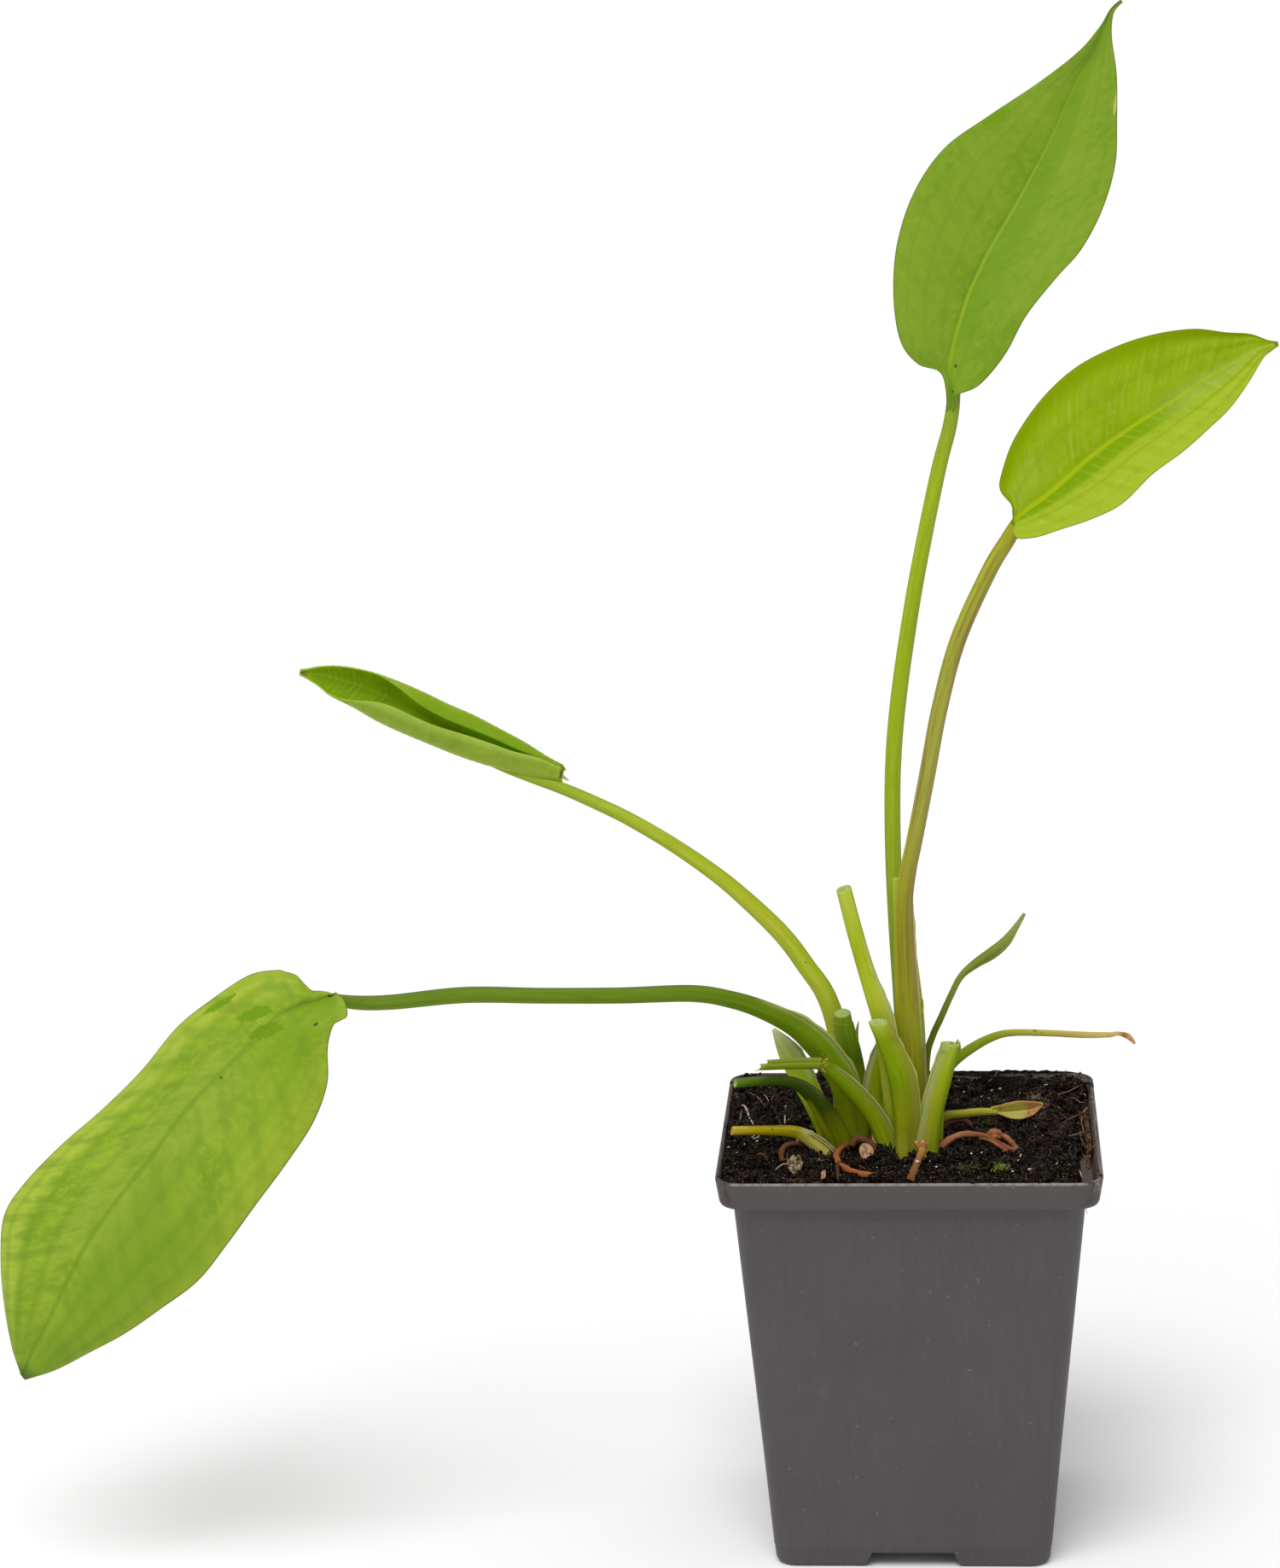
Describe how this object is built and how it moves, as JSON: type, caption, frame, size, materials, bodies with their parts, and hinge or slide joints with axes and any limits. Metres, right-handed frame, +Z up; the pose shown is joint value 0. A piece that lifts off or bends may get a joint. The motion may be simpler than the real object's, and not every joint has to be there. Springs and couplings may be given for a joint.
{
  "type": "potted water plantain",
  "caption": "Marsh plant with long-stalked oval leaves, cut stalk stubs and small withered leaves, growing from peat in a square tapered plastic pot with a rim band.",
  "frame": {"origin": "middle of the pot's underside, on the plane it stands on", "axes": "+Z up along the pot's axis, front of the pot towards -Y, +X to the right seen from the front"},
  "size_m": [0.3027, 0.0939, 0.3653],
  "materials": {
    "pot": "satin",
    "peat": "matte",
    "leaf": "satin",
    "leaf_stalk": "satin",
    "cut_stalk": "satin",
    "withered_leaf": "satin",
    "dead_stalk": "matte"
  },
  "bodies": {
    "root": {"pot": "pot", "soil": "peat", "tall_leaf_blade": "leaf", "right_leaf_blade": "leaf", "hanging_leaf_blade": "leaf", "rolled_leaf_blade": "leaf", "tall_leaf_stalk": "leaf_stalk", "right_leaf_stalk": "leaf_stalk", "hanging_leaf_stalk": "leaf_stalk", "rolled_leaf_stalk": "leaf_stalk", "front_cut_stalk": "cut_stalk", "right_cut_stalk": "cut_stalk", "bent_cut_stalk": "cut_stalk", "hollow_cut_stalk": "cut_stalk", "low_cut_stalk": "cut_stalk", "pale_edged_stalk": "cut_stalk", "dark_cut_stalk": "cut_stalk", "long_cut_stalk": "cut_stalk", "pale_sheath": "cut_stalk", "back_cut_stalk": "cut_stalk", "short_inner_stalk": "cut_stalk", "upright_small_leaf": "leaf", "withered_small_leaf": "withered_leaf", "yellow_small_leaf": "withered_leaf", "tan_dead_stub": "dead_stalk", "brown_arched_stalk": "dead_stalk", "back_brown_stalk": "dead_stalk", "brown_looped_stalk": "dead_stalk", "brown_curl": "dead_stalk"}
  },
  "joints": []
}
